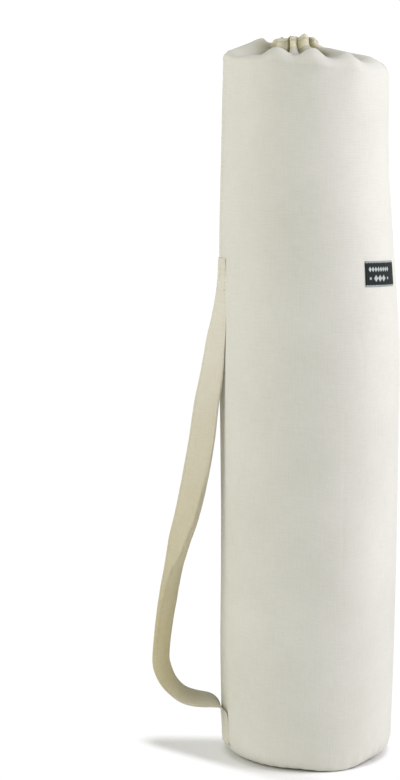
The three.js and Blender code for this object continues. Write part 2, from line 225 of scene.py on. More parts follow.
def makeCanvas(name, light, dark, hollow, paintedStrapShade=None):
    material, tree, shader, out = newMaterial(name, **{
        "Roughness": canvas["roughness"], "IOR": canvas["ior"], "Specular IOR Level": 0.25,
        "Sheen Weight": canvas["sheen"], "Sheen Roughness": 0.6})
    uv = addNode(tree, "UVMap", uv_map="clothMetres")
    threads = [addNode(tree, "TexWave", {
        "Vector": uv, "Scale": waveRepeat / canvas[spacing], "Distortion": 2.4, "Detail": 2.0,
        "Detail Scale": 0.35, "Detail Roughness": 0.6}, bands_direction=way).outputs[1]
        for spacing, way in (("warpSpacing", "X"), ("weftSpacing", "Y"))]
    crossing = addNode(tree, "Math", {0: threads[0], 1: threads[1]}, operation="MULTIPLY")
    # slubs are noise drawn out along the threads
    long, thin = 1000 / canvas["slubLength"], 1000 / canvas["slubWidth"]
    slubs = []
    for stretch in ((thin, long, 1), (long, thin, 1)):
        drawnOut = addNode(tree, "Mapping", {"Vector": uv, "Scale": stretch})
        slubs.append(addNode(tree, "TexNoise", {
            "Vector": drawnOut, "Scale": 1.0, "Detail": 2.0, "Roughness": 0.6}, noise_dimensions="2D"))
    slub = addNode(tree, "Math", {0: slubs[0], 1: slubs[1]}, operation="ADD")
    cloud = addNode(tree, "TexNoise", {"Vector": uv, "Scale": 11.0, "Detail": 3.0, "Roughness": 0.55},
                    noise_dimensions="2D")
    grain = addNode(tree, "Math", {0: slub, 1: 0.55, 2: cloud}, operation="MULTIPLY_ADD")
    grain = addNode(tree, "Math", {0: crossing, 1: 0.14, 2: grain}, operation="MULTIPLY_ADD")
    tone = addNode(tree, "MapRange", {0: grain, 1: 0.72, 2: 1.45})
    colours = [hexColour(dark), hexColour(light)]
    # painted shade: a yellower, darker tint along the strap's free length, rising and fading by the distance
    # from its upper end
    if paintedStrapShade:
        length = addNode(tree, "SeparateXYZ", {0: uv}).outputs[1]
        start, full = paintedStrapShade["shadeFrom"]
        rise = addNode(tree, "MapRange", {0: length, 1: start, 2: full})
        fall, end = paintedStrapShade["shadeFades"]
        fall = addNode(tree, "MapRange", {0: length, 1: fall, 2: end, 3: 1.0, 4: 0.0})
        share = addNode(tree, "Math", {0: rise, 1: fall}, operation="MINIMUM")
        colours = [addNode(tree, "Mix", {0: share, 6: plain, 7: hexColour(shadedTone)}, data_type="RGBA").outputs[2]
                   for plain, shadedTone in zip(colours, (paintedStrapShade["darkShadeTone"], paintedStrapShade["lightShadeTone"]))]
    cloth = addNode(tree, "Mix", {0: tone, 6: colours[0], 7: colours[1]}, data_type="RGBA").outputs[2]
    # only some cells have a fleck, each of its own size, up to about 0.6 mm across
    cells = addNode(tree, "TexVoronoi", {"Vector": uv, "Scale": 1000 / canvas["fleckSpacing"]},
                    voronoi_dimensions="2D")
    size = addNode(tree, "SeparateColor", {0: cells.outputs["Color"]})
    reach = addNode(tree, "MapRange", {0: size, 1: 0.6, 2: 1.0, 3: 0.0, 4: 0.017})
    inFleck = addNode(tree, "Math", {0: cells, 1: reach}, operation="LESS_THAN")
    fleckShare = addNode(tree, "Math", {0: inFleck, 1: 0.5}, operation="MULTIPLY")
    flecked = addNode(tree, "Mix", {0: fleckShare, 6: cloth, 7: hexColour(canvas["fleck"])},
                      data_type="RGBA").outputs[2]
    # painted shade: the colour goes towards the hollow colour between folds, over the gathered top and in the
    # gap along the floor
    depth = addNode(tree, "Attribute", attribute_name="paintedFoldShade").outputs["Fac"]
    colour = addNode(tree, "Mix", {0: depth, 6: flecked, 7: hexColour(hollow)}, data_type="RGBA").outputs[2]
    height = addNode(tree, "Math", {0: slub, 1: 0.8, 2: crossing}, operation="MULTIPLY_ADD")
    surface = addNode(tree, "Bump", {
        "Strength": 0.6, "Distance": canvas["threadRelief"] / 1000, "Height": height})
    tree.links.new(colour, shader.inputs["Base Color"])
    tree.links.new(surface.outputs[0], shader.inputs["Normal"])
    return material


naturalCanvas = makeCanvas("naturalCottonDuck", canvas["light"], canvas["dark"], canvas["hollow"])
hemCanvas = makeCanvas("paintedPalerHemDuck", paintedPaleHemCloth["light"], paintedPaleHemCloth["dark"], paintedPaleHemCloth["hollow"])
strapCanvas = makeCanvas("foldedStrapDuck", strapCloth["light"], strapCloth["dark"], canvas["hollow"],
                         paintedStrapShade=strapCloth)
print("canvas materials made")


body = {
    "baseDiameter": 160.0,
    "shoulderHeight": 649.0,
    "wall": 1.2,  # cloth thickness
    "footRound": 16.0,  # radius of the bottom edge
    "footSag": 13.0,  # how much sharper the bottom edge is where the cloth sags onto the floor
    "footSagBearing": 279.0,
    "footSagSpread": 34.0,
    "seamBearing": 180.0,
    "seamRise": 0.8,
    "seamEdges": (-7.0, -5.2, 4.0, 7.0),  # where the seam's plateau starts, is full, starts to fall and ends
    "seamRow": 4.2,  # of each stitched row from the seam's middle
    "furrowDepth": 0.3,  # of the furrow that the stitches pull
    "furrowWidth": 0.7,
    "allowanceHeight": 10.0,  # the base seam's turned-up edge shows through the wall as a faint step
    "allowanceRise": 0.3,
    "rippleSize": 52.0,  # long soft ripples on the full part
    "rippleDepth": 0.4,
    "looseSize": 34.0,  # loose folds over the end of the roll
    "looseDepth": 0.6,
    "looseFrom": (560, 640),
    "puckers": 41,  # round the base seam
    "puckerDepth": 0.28,
    "columns": 288,
    "wallRows": 80,
    "footGap": 1.0,  # the cloth bulges over the base seam, which leaves a low gap along the floor; it lies in shade, and painted shade darkens it further
    "footGapDepth": 0.9,
    "footTip": 2.6,  # the base seam's end pokes out a little
    "footTipBearing": 341.0,
    "crownRows": 40,
}
crown = {
    "shoulderRound": 9.0,  # radius of the edge where the cloth turns in over the end of the roll
    "roundSwing": 5.0,  # how much smaller it is on the high side, and larger on the other
    "tilt": 3.5,
    "highSide": 170.0,
    "rise": 20.5,  # from the shoulder to the rim of the mouth
    "neckDiameter": 33.0,  # without the folds
    "mouthOffset": 10.0,
    "mouthBearing": 166.0,
    "pleatRise": 8.0,
    "pleatUnder": 0.07,  # share of a fold's height that reaches down below the shoulder
    "pleatSpread": 17.0,  # degrees to each side of a ridge at the shoulder
    "pleatOverlap": 0.62,  # at the neck, the same as a share of the way to the next ridge
    "pleatPeak": 1.6,  # sharpness of a ridge at the shoulder; it is 1, a round one, at the neck
    "level": 0.5,  # a fold with this rim value neither raises nor lowers the rim
    "creaseDepth": 4.6,  # sharp crease between two folds at the neck
    "creaseWidth": 4.2,  # degrees to each side
    "creaseFrom": 0.3,
}
bodySections = [
    {"height": 0.0, "girth": 0.997, "lean": 0.0},
    {"height": 0.072, "girth": 1.011, "lean": 0.004},
    {"height": 0.162, "girth": 1.0275, "lean": 0.013},
    {"height": 0.282, "girth": 1.031, "lean": 0.0275},
    {"height": 0.46, "girth": 1.04, "lean": 0.036},
    {"height": 0.575, "girth": 1.046, "lean": 0.039},
    {"height": 0.661, "girth": 1.0275, "lean": 0.025},
    {"height": 0.747, "girth": 1.0025, "lean": -0.001},
    {"height": 0.861, "girth": 0.9625, "lean": -0.016},
    {"height": 1.0, "girth": 0.944, "lean": 0.007},
]
crownSections = [
    {"inward": 0.0, "rise": 0.0, "ridge": 0.88, "lift": 0.0},
    {"inward": 0.2, "rise": 0.04, "ridge": 1.0, "lift": 0.0},
    {"inward": 0.47, "rise": 0.13, "ridge": 1.0, "lift": 0.0},
    {"inward": 0.72, "rise": 0.28, "ridge": 0.85, "lift": 0.0},
    {"inward": 0.88, "rise": 0.45, "ridge": 0.55, "lift": 0.0},
    {"inward": 0.97, "rise": 0.65, "ridge": 0.34, "lift": 0.12},
    {"inward": 1.0, "rise": 0.84, "ridge": 0.28, "lift": 0.3},
    {"inward": 0.98, "rise": 1.0, "ridge": 0.28, "lift": 0.5},
]
# one fold a row: the bearing of its ridge at the shoulder and at the neck, its height at four places between
# them, how far it lifts the rim, and where the crease after it lies as a share of the way to the next ridge
pleats = np.array([
    (25, 30, 0.9, 1.1, 1.1, 1.0, 0.4, 0.5), (55, 60, 1.0, 0.8, 0.8, 0.9, 1.1, 0.55),
    (90, 92, 0.8, 1.2, 1.2, 1.1, 0.3, 0.45), (120, 118, 1.1, 0.9, 0.9, 1.0, 0.2, 0.5),
    (150, 142, 0.8, 1.0, 1.3, 1.0, 0.2, 0.5), (180, 168, 0.7, 1.55, 2.25, 1.2, 0.3, 0.5),
    (235, 208, 1.1, 0.6, 0.6, 1.0, 0.3, 0.72), (248, 247, 0.0, 0.1, 0.5, 0.9, 0.7, 0.36),
    (260, 281, 1.1, 0.8, 0.8, 1.1, 1.25, 0.62), (290, 318, 0.9, 0.8, 0.8, 1.0, 0.5, 0.5),
    (320, 345, 0.7, 0.8, 0.9, 0.8, 0.1, 0.5), (350, 6, 0.5, 0.9, 0.9, 0.9, 0.2, 0.5),
])
pleatPlaces = [0, 0.5, 0.8, 1]


def wallRadius(bearing, height):
    share = np.asarray(height) / body["shoulderHeight"]
    girth = readCurve(column(bodySections, "height"), column(bodySections, "girth"), share)
    radius = body["baseDiameter"] / 2 * girth
    fromSeam = np.radians(turnBetween(body["seamBearing"], bearing)) * radius
    # flat-felled seam: a low plateau, one edge of it crisper than the other, with two stitched furrows
    start, full, fall, end = body["seamEdges"]
    seam = smoothStep(fromSeam, start, full) * (1 - smoothStep(fromSeam, fall, end))
    furrow = np.exp(-((np.abs(fromSeam) - body["seamRow"]) / body["furrowWidth"]) ** 2)
    return radius + body["seamRise"] * seam - body["furrowDepth"] * furrow


def wallLean(height):
    share = np.asarray(height) / body["shoulderHeight"]
    lean = readCurve(column(bodySections, "height"), column(bodySections, "lean"), share)
    return body["baseDiameter"] / 2 * lean


def footRoundAt(bearing):
    sags = bump(turnBetween(body["footSagBearing"], bearing), body["footSagSpread"])
    return body["footRound"] - body["footSag"] * sags


def footInset(bearing, height):
    # how far the rounded bottom edge has drawn in from the wall at a height
    foot = footRoundAt(bearing)
    low = np.clip((body["footGap"] + foot - height) / foot, 0, 1)
    return foot * (1 - np.sqrt(1 - low ** 2))


def ridgeBearing(index, inward):
    shoulder, neck = pleats[index % len(pleats)][:2]
    return shoulder + turnBetween(shoulder, neck) * inward


def pleatShape(bearing, inward, heightOf):
    # bearing and inward are arrays of one shape; heightOf gives one fold's height
    total = np.zeros(np.shape(bearing))
    for index, fold in enumerate(pleats):
        ridge = ridgeBearing(index, inward)
        turn = turnBetween(ridge, bearing)
        before = np.abs(turnBetween(ridge, ridgeBearing(index - 1, inward)))
        after = np.abs(turnBetween(ridge, ridgeBearing(index + 1, inward)))
        spacing = np.where(turn < 0, before, after)
        spread = crown["pleatSpread"] * (1 - inward) + spacing * crown["pleatOverlap"] * inward
        total += heightOf(fold) * bump(turn, spread, crown["pleatPeak"] * (1 - inward) + inward)
    return total


def pleatHeight(bearing, inward):
    return pleatShape(bearing, inward, lambda fold: np.interp(inward, pleatPlaces, fold[2:6]))


def creaseDepth(bearing, inward):
    # the cloth between two ridges is pinched into a sharp crease near the neck
    depth = np.zeros(np.shape(bearing))
    for index, fold in enumerate(pleats):
        ridge = ridgeBearing(index, inward)
        middle = ridge + turnBetween(ridge, ridgeBearing(index + 1, inward)) * fold[7]
        width = crown["creaseWidth"] * (1 + 0.3 * math.sin(index * 1.7))
        away = np.abs(turnBetween(middle, bearing)) / width
        depth += np.exp(-away) * (0.85 + 0.25 * math.cos(index * 3.1))
    return crown["creaseDepth"] * depth * smoothStep(inward, crown["creaseFrom"], 0.95)


# the grid's columns, closer together at the seam
seamFine = np.arange(-7, 7.1, 0.5)
bearings = np.unique(np.round(np.concatenate([
    np.arange(body["columns"]) * 360 / body["columns"],
    body["seamBearing"] + seamFine,
]), 3) % 360)


def clothProfile():
    # one row for each level of the cloth, from the bottom edge to the rim of the mouth, one column a bearing
    rows = []
    foot = footRoundAt(bearings)
    nought = np.zeros(len(bearings))
    gap = body["footGap"]
    for height in (0, gap * 0.5, gap * 0.9):
        rows.append((wallRadius(bearings, 0) - foot - body["footGapDepth"], nought + height, nought, nought))
    for turn in np.radians(np.linspace(0, 90, 8)[:-1]):
        rows.append((wallRadius(bearings, 0) - foot * (1 - np.sin(turn)), gap + foot * (1 - np.cos(turn)),
                     nought, nought))
    highSide = np.cos(np.radians(turnBetween(crown["highSide"], bearings)))
    turnIn = crown["shoulderRound"] - crown["roundSwing"] * highSide
    top = body["shoulderHeight"] + crown["tilt"] * highSide
    pleatFoot = pleatHeight(bearings, nought)
    for share in np.linspace(0, 1, body["wallRows"])[:-1]:
        height = gap + foot + share * (top - turnIn - gap - foot)
        low, high = body["shoulderHeight"] - 75, body["shoulderHeight"] - 6
        under = crown["pleatUnder"] * smoothStep(height, low, high)
        rows.append((wallRadius(bearings, height), height, under * crown["pleatRise"] * pleatFoot, nought))
    for turn in np.linspace(0, 68, 9)[:-1]:
        slope = np.radians(turn)
        grown = float(readCurve([0, 38, 68, 90], [0, 0.3, 0.65, 0.88], turn))
        ridge = crown["pleatUnder"] + grown * (1 - crown["pleatUnder"])
        rows.append((wallRadius(bearings, body["shoulderHeight"]) - turnIn * (1 - np.cos(slope)),
                     top - turnIn * (1 - np.sin(slope)), ridge * crown["pleatRise"] * pleatFoot, nought))
    shoulderRadius = wallRadius(bearings, body["shoulderHeight"]) - turnIn
    steps = np.linspace(0, len(crownSections) - 1, body["crownRows"])
    numbers = np.arange(len(crownSections))
    read = {name: readCurve(numbers, column(crownSections, name), steps) for name in crownSections[0]}
    for inward, rise, ridge, lift in zip(read["inward"], read["rise"], read["ridge"], read["lift"]):
        rimLift = pleatShape(bearings, nought + inward, lambda fold: fold[6]) - crown["level"]
        level = top * (1 - inward) + body["shoulderHeight"] * inward
        rows.append((
            shoulderRadius * (1 - inward) + crown["neckDiameter"] / 2 * inward,
            level + rise * crown["rise"] + lift * crown["pleatRise"] * rimLift,
            ridge * crown["pleatRise"] * pleatHeight(bearings, nought + inward)
            - creaseDepth(bearings, nought + inward),
            nought + inward,
        ))
    return [np.array(values) for values in zip(*rows)]


uvGirth = math.pi * body["baseDiameter"] * 1.02  # mm of cloth round the bag, much the same at all heights


def clothPoints(profile, proud):
    # proud: distance outside the cloth's outer face, square to the unpleated profile
    radius, height, ridge, pull = profile
    alongR, alongZ = np.gradient(radius, axis=0), np.gradient(height, axis=0)
    length = np.maximum(np.hypot(alongR, alongZ), 1e-9)
    stand = ridge + proud
    r = radius + stand * alongZ / length
    z = np.maximum(height - stand * alongR / length, 0)
    angle = np.radians(bearings)[None, :]
    moved = crown["mouthOffset"] * pull
    side = math.radians(crown["mouthBearing"])
    x = r * np.cos(angle) + moved * math.cos(side) + wallLean(height)
    y = r * np.sin(angle) + moved * math.sin(side)
    return np.stack([x, y, z], -1)


def clothUvs(points):
    along = np.concatenate([[0], np.cumsum(np.linalg.norm(np.diff(points, axis=0), axis=-1).mean(axis=1))])
    around = bearings / 360 * uvGirth
    u, v = np.meshgrid(around, along)
    return np.stack([u, v], -1) / 1000


def ringShell(name, outside, inside, uvs):
    # closed skin: up the outside, over the rim and down the inside. The uv seam lies at bearing 0
    rows, columns = outside.shape[:2]
    points = np.concatenate([outside, inside[::-1]])
    both = np.concatenate([uvs, uvs[::-1]])
    lastUv = both[:, :1].copy()
    lastUv[..., 0] += uvGirth / 1000
    both = np.concatenate([both, lastUv], axis=1)
    faces = gridFaces(2 * rows, columns, closeRows=True, closeColumns=True)
    piece = makeMesh(name, points.reshape(-1, 3), faces)
    layer = piece.data.uv_layers.new(name="clothMetres")
    flat = np.empty((len(faces) * 4, 2), np.float32)
    n = 0
    for r in range(2 * rows):
        s = (r + 1) % (2 * rows)
        for c in range(columns):
            flat[n:n + 4] = both[r, c], both[r, c + 1], both[s, c + 1], both[s, c]
            n += 4
    layer.data.foreach_set("uv", flat.ravel())
    return piece


profile = clothProfile()
firstCrownRow = len(profile[0]) - body["crownRows"]

# slight unevenness: long soft ripples on the full part, small puckers at the base seam, loose folds above
smoothCloth = clothPoints(profile, 0)
clothHeight = smoothCloth[..., 2]
longer = np.array([1, 1, 0.35])  # forms drawn out up the bag
ripple = cloudAt(smoothCloth * longer, body["rippleSize"], 1) * body["rippleDepth"]
loose = cloudAt(smoothCloth * np.array([1, 1, 0.8]), body["looseSize"], 2) * body["looseDepth"]
loose = loose * smoothStep(clothHeight, *body["looseFrom"])
pucker = np.sin(np.radians(bearings)[None, :] * body["puckers"] + 2 * cloudAt(smoothCloth, 60, 3))
pucker = pucker * np.exp(-((clothHeight - 6) / 6) ** 2) * body["puckerDepth"]
allowance = 1 - smoothStep(clothHeight, body["allowanceHeight"] - 1, body["allowanceHeight"] + 1.5)
allowance = allowance * body["allowanceRise"]
tip = body["footTip"] * bump(turnBetween(body["footTipBearing"], bearings)[None, :], 4.0)
tip = tip * (1 - smoothStep(clothHeight, 1.5, 8))

# faint lines from folding and handling: bearing and height of both ends, relief and width in millimetres
handlingLines = [
    (277.5, 150, 278.5, 352, -0.16, 1.6), (286, 413, 291.5, 386, -0.3, 1.5),
    (291.5, 386, 292, 366, -0.2, 1.5), (240, 300, 243.5, 338, -0.14, 1.8),
    (306, 214, 301, 236, -0.18, 1.6), (248, 96, 252, 120, -0.16, 1.6),
    (60, 420, 66, 500, -0.2, 1.8), (110, 200, 104, 290, -0.2, 1.8), (20, 330, 17, 250, -0.18, 1.8),
    (260.2, 39.6, 261.8, 40.4, 0.35, 0.9),
]
lines = np.zeros(clothHeight.shape)
for startBearing, startHeight, endBearing, endHeight, relief, width in handlingLines:
    across = np.radians(turnBetween(startBearing, bearings))[None, :] * body["baseDiameter"] / 2
    up = clothHeight - startHeight
    sideways = math.radians(endBearing - startBearing) * body["baseDiameter"] / 2
    run = np.array([sideways, endHeight - startHeight])
    share = np.clip((across * run[0] + up * run[1]) / (run @ run), 0, 1)
    away = np.hypot(across - share * run[0], up - share * run[1])
    fading = 0.35 + 0.65 * np.sin(np.pi * np.clip(share, 0.02, 0.98))
    lines += relief * np.exp(-(away / width) ** 2) * fading
onWall = 1 - smoothStep(np.arange(len(profile[0])), firstCrownRow - 4, firstCrownRow + 6)[:, None]
uneven = ripple + loose + pucker + allowance + tip + lines
profile[2] = profile[2] + uneven * onWall + loose * 0.5 * (1 - onWall)


def paintedShadeAmounts(ridge, pull, reach=8):
    # painted shade from 0 to 1 in the gathered part: more the deeper a point lies between the folds beside
    # it, and a fifth over the whole gathered top
    around = [np.roll(ridge, step, axis=1) for step in range(-reach, reach + 1)]
    highest = np.max(around, axis=0)
    hollow = np.clip((highest - ridge) / 6.0, 0, 1) ** 1.2 * smoothStep(pull, 0.3, 0.85)
    return np.clip(hollow + 0.2 * smoothStep(pull, 0.02, 0.4), 0, 1)


clothPaintedShade = paintedShadeAmounts(profile[2], profile[3])
# painted shade: the low gap along the floor takes the full hollow colour too
clothPaintedShade += 1 - smoothStep(profile[1], body["footGap"] * 0.9, body["footGap"] + 0.8)

outsideCloth = clothPoints(profile, 0)
insideCloth = clothPoints(profile, -body["wall"])
tubeUvs = clothUvs(outsideCloth)
canvasTube = ringShell("bagBody", outsideCloth, insideCloth, tubeUvs)
setPointValues(canvasTube, "paintedFoldShade", np.concatenate([clothPaintedShade, clothPaintedShade[::-1]]))
dress(canvasTube, naturalCanvas, "canvas", "canvas_tube")
print("bag body:", len(canvasTube.data.polygons), "faces")


hem = {
    "thickness": 2.4,
    "gap": 0.15,
    "firstSection": 4,  # covers the crown from this section to the rim
    "ruffle": 0.35,
    "stitchAt": 0.5,  # of the way from its lower edge to the rim
    "stitchDip": 0.4,
}


def makeHem():
    covered = hem["firstSection"] / (len(crownSections) - 1)
    start = firstCrownRow + int(round((body["crownRows"] - 1) * covered))
    own = [part[start:].copy() for part in profile]
    count = len(own[0])
    # it grows out of the cloth below without a step, and its rim is rounded
    share = np.linspace(0, 1, count)
    full = smoothStep(share, -0.1, 0.75) * roundedEdge((1 - share) / 0.2)
    stitchDip = hem["stitchDip"] * np.exp(-((share - hem["stitchAt"]) / 0.07) ** 2)
    ruffle = cloudAt(clothPoints(own, 0) * np.array([1, 1, 0.5]), 6, 5) * hem["ruffle"]
    thin = 0.05  # at its lower edge and its rim
    proud = hem["gap"] + thin + (hem["thickness"] - thin - stitchDip) * full
    outside = clothPoints([own[0], own[1], own[2] + ruffle * full[:, None], own[3]], proud[:, None])
    inside = clothPoints(own, hem["gap"])
    piece = ringShell("gatheredHem", outside, inside, clothUvs(outside))
    # painted shade between the hem's folds and over the gathered top
    hemPaintedShade = paintedShadeAmounts(own[2], own[3])
    setPointValues(piece, "paintedFoldShade", np.concatenate([hemPaintedShade, hemPaintedShade[::-1]]))
    dress(piece, hemCanvas, "canvas_hem", "drawstring_casing")
    return piece, outside, int(count * hem["stitchAt"])


gatheredHem, hemOutside, hemStitchRow = makeHem()
print("hem:", len(gatheredHem.data.polygons), "faces")


base = {
    "thickness": 1.6,
    "rings": 26,
    "edgeGap": 3.0,
    "sag": 0.5,  # the disc rises a little between its seam and its middle
}


def makeBase():
    around = np.linspace(0, 360, 181)[:-1]
    edge = wallRadius(around, 0) - footRoundAt(around) - base["edgeGap"]
    layers = []
    for side in (0, 1):
        rows = []
        for share in np.linspace(0.02, 1, base["rings"]):
            radius = edge * share
            x, y = radius * np.cos(np.radians(around)), radius * np.sin(np.radians(around))
            flat = np.stack([x, y, np.zeros(len(x))], -1)
            lift = base["sag"] * (0.5 + 0.5 * cloudAt(flat, 30, 7)) * smoothStep(share, 1.0, 0.8)
            rows.append(flat + np.stack([x * 0, y * 0, lift + side * base["thickness"]], -1))
        layers.append(np.array(rows))
    bottom, top = layers
    points = np.concatenate([bottom, top[::-1]])
    rows = len(points)
    faces = gridFaces(rows, len(around), closeColumns=True)
    first, last = 0, (rows - 1) * len(around)
    faces.append(tuple(range(first + len(around) - 1, first - 1, -1)))
    faces.append(tuple(range(last, last + len(around))))
    uvs = points[..., :2].reshape(-1, 2) / 1000
    piece = makeMesh("roundBase", points.reshape(-1, 3), [face[::-1] for face in faces], uvs)
    return dress(piece, naturalCanvas, "canvas", "base_panel")


roundBase = makeBase()
print("base:", len(roundBase.data.polygons), "faces")


strap = {
    "width": 30.0,
    "thickness": 2.4,
    "gap": 0.1,
    "reach": 57.0,  # how far its loop stands off the bag
    "top": 470.0,  # heights of its two ends
    "foot": 12.0,
    "pressed": 92.0,  # its front edge lies flat on the bag down to this distance from its upper end
    "sink": 0.45,  # how deep the stitches pull its edges into the bag's wall
    "creaseSoftness": 0.06,  # of its lengthwise fold, as a share of the width
    "swell": 0.25,  # the doubled cloth is fuller between its stitched rows
    "puckerDepth": 0.22,
    "stitchInset": 3.2,
    "stitchDip": 0.35,
    "alongSteps": 300,
    "acrossSteps": 40,
}
# columns: height as a share of the way up from its lower end, share of the reach, the way that each side of
# the lengthwise fold faces (degrees, 0 is outward, square to the strap's own line), the fold's place as a
# share of the width, how closely it hugs the round wall (below 0 with its other face), share of the thickness
strapStations = np.array([
    (1, 0, 0, 0, 0.5, 1, 0.15), (0.957, 0, 4, 4, 0.5, 1, 0.4), (0.915, 0.012, 9, 9, 0.5, 0.85, 0.6),
    (0.874, 0.035, 15, 15, 0.5, 0.7, 0.7), (0.835, 0.066, 22, 22, 0.6, 0.5, 0.8),
    (0.796, 0.095, 28, 28, 0.7, 0.3, 0.9), (0.755, 0.14, 33, 33, 0.8, 0.1, 1),
    (0.714, 0.205, 37, 38, 0.9, 0, 1), (0.633, 0.3, 41, 60, 0.95, 0, 1), (0.553, 0.421, 41, 110, 0.9, 0, 1),
    (0.471, 0.581, 41, 140, 0.78, 0, 1), (0.432, 0.68, 41, 146, 0.68, 0, 1),
    (0.399, 0.745, 41, 148, 0.54, 0, 1), (0.367, 0.8, 41, 142, 0.3, 0, 1),
    (0.308, 0.885, 42, 139, 0.17, 0, 1), (0.241, 0.96, 45, 141, 0.12, 0, 1), (0.18, 1, 60, 143, 0.1, 0, 1),
    (0.15, 0.935, 95, 147, 0.1, 0, 1), (0.121, 0.79, 132, 156, 0.15, 0, 1),
    (0.102, 0.6, 153, 162, 0.25, 0, 1), (0.093, 0.36, 163, 167, 0.4, 0, 1),
    (0.089, 0.15, 169, 171, 0.5, -0.3, 0.85), (0.077, 0.03, 177, 177, 0.5, -0.8, 0.5),
    (0.063, 0, 180, 180, 0.5, -1, 0.25), (0, 0, 180, 180, 0.5, -1, 0.15),
])


def strapPath():
    # the strap's middle line, as x and z of points an even length apart, and the table's columns read there
    z = strap["foot"] + strapStations[:, 0] * (strap["top"] - strap["foot"])
    half = strapStations[:, 6] * strap["thickness"] / 2
    seam = np.full(len(z), body["seamBearing"])
    seat = wallRadius(seam, z) - footInset(seam, z) + strap["gap"] + half
    x = wallLean(z) - seat - strapStations[:, 1] * strap["reach"]
    length = np.concatenate([[0], np.cumsum(np.hypot(np.diff(x), np.diff(z)))])
    fine = np.linspace(0, length[-1], 4000)
    fineX, fineZ = readCurve(length, x, fine), readCurve(length, z, fine)
    # round the path off a little, as doubled canvas bends
    window = np.hanning(121)
    window /= window.sum()
    padded = [np.pad(line, 60, mode="reflect", reflect_type="odd") for line in (fineX, fineZ)]
    softX, softZ = [np.convolve(line, window, mode="valid") for line in padded]
    free = smoothStep(fine, length[3], length[5]) * (1 - smoothStep(fine, length[-4], length[-3]))
    fineX = fineX * (1 - free) + softX * free
    fineZ = fineZ * (1 - free) + softZ * free
    at = np.linspace(0, length[-1], strap["alongSteps"])
    columns = [readCurve(length, strapStations[:, k], at) for k in range(2, 7)]
    return np.interp(at, fine, fineX), np.interp(at, fine, fineZ), at, columns


def strapSurface():
    # middle surface and outward directions, one row for each step along, one column for each step across
    x, z, at, (facingA, facingB, crease, hug, thick) = strapPath()
    travel = unit(np.stack([np.gradient(x), x * 0, np.gradient(z)], -1))
    outward = np.stack([travel[:, 2], x * 0, -travel[:, 0]], -1)
    sideways = np.array([0.0, -1.0, 0.0])
    count = strap["acrossSteps"]
    share = np.linspace(0, 1, count + 1)

    def facing(shares):
        edge = strap["creaseSoftness"] / 2
        turned = smoothStep(shares[None, :], crease[:, None] - edge, crease[:, None] + edge)
        wrap = np.degrees(strap["width"] / (body["baseDiameter"] / 2)) * (shares[None, :] - 0.5)
        return np.radians(facingA[:, None] * (1 - turned) + facingB[:, None] * turned + hug[:, None] * wrap)

    middle = facing((share[:-1] + share[1:]) / 2)
    step = strap["width"] / count
    offsets = (-np.sin(middle)[..., None] * outward[:, None] + np.cos(middle)[..., None] * sideways) * step
    points = np.concatenate([np.zeros((len(x), 1, 3)), np.cumsum(offsets, axis=1)], axis=1)
    chord = (points[:, 0] + points[:, -1]) / 2
    hugged = points[:, count // 2]
    centre = chord + (hugged - chord) * np.abs(hug)[:, None]
    points = points + (np.stack([x, x * 0, z], -1) - centre)[:, None]
    angle = facing(share)
    directions = np.cos(angle)[..., None] * outward[:, None] + np.sin(angle)[..., None] * sideways
    return points, unit(directions), at, share, thick, np.abs(hug)


def makeStrap():
    points, directions, at, share, thick, hug = strapSurface()
    across = share * strap["width"]
    half = strap["thickness"] / 2
    fromEdge = np.minimum(across, strap["width"] - across)
    rounded = roundedEdge(fromEdge / half)
    dip = strap["stitchDip"] * np.exp(-((fromEdge - strap["stitchInset"]) / 0.8) ** 2)
    swell = strap["swell"] * np.sin(np.pi * np.clip((across - 5) / (strap["width"] - 10), 0, 1))
    # where it is sewn down its edges are pressed flat on the bag
    free = smoothStep(1 - hug, 0.0, 0.5)[:, None]
    frontFree = smoothStep(at, strap["pressed"] - 30, strap["pressed"])[:, None]
    free = np.where(share > 0.5, np.minimum(free, frontFree), free)
    feather = smoothStep(fromEdge, -0.5, 9.0)[None, :] * (1 - free) + free
    points[..., 0] += strap["sink"] * smoothStep(fromEdge, 7.0, 0.0)[None, :] * (1 - free)
    stand = np.maximum((half * rounded - dip)[None, :] * feather, 0.02) * thick[:, None]
    # small puckers beside the stitches and a little unevenness along the cloth
    puckers = np.sin(at / 3.3 * 2 * np.pi)[:, None] * dip * 0.12
    wobble = cloudAt(points, 11, 11) * strap["puckerDepth"] + puckers
    loose = (swell * 0.5 + wobble * rounded) * thick[:, None] * feather
    front = points + directions * (stand + loose)[..., None]
    back = points - directions * stand[..., None]
    loop = np.concatenate([front, back[:, ::-1]], axis=1)
    rows, columns = loop.shape[:2]
    faces = gridFaces(rows, columns, closeColumns=True)
    faces.append(tuple(range(columns - 1, -1, -1)))
    faces.append(tuple(range((rows - 1) * columns, rows * columns)))
    v = np.repeat(at[:, None], columns, axis=1)
    u = np.repeat(np.concatenate([across, across[::-1] + strap["width"]])[None, :], rows, axis=0)
    uvs = np.stack([u, v], -1).reshape(-1, 2) / 1000
    piece = makeMesh("shoulderStrap", loop.reshape(-1, 3), faces, uvs)
    dress(piece, strapCanvas, "strap_canvas", "shoulder_strap")
    return piece, front, back, directions, at


shoulderStrap, strapFront, strapBack, strapDirections, strapAt = makeStrap()
print("strap:", len(shoulderStrap.data.polygons), "faces,", round(strapAt[-1]), "mm long")


label = {
    "width": 45.0,
    "height": 23.0,
    "thickness": 0.9,
    "gap": 0.3,
    "middle": 456.3,
    "bearing": 311.5,
    "turn": -2.0,  # degrees that it is sewn on askew
    "acrossSteps": 120,
    "upSteps": 64,
    "motifShift": -4.6,
    "dotAt": (12.6, -3.9),  # a small square at each end of the lower row
    "borderAt": 10.7,  # the pale borders, above and below the middle
    "ground": ("#0d1614", "#1e2927"),
    "pale": "#d3dad6",
}


# rows of woven diamonds: height of the row, how many, how far apart, and half their width and height
labelRows = [(4.2, 8, 3.7, 1.8, 2.4), (-3.9, 3, 5.6, 2.9, 3.1)]


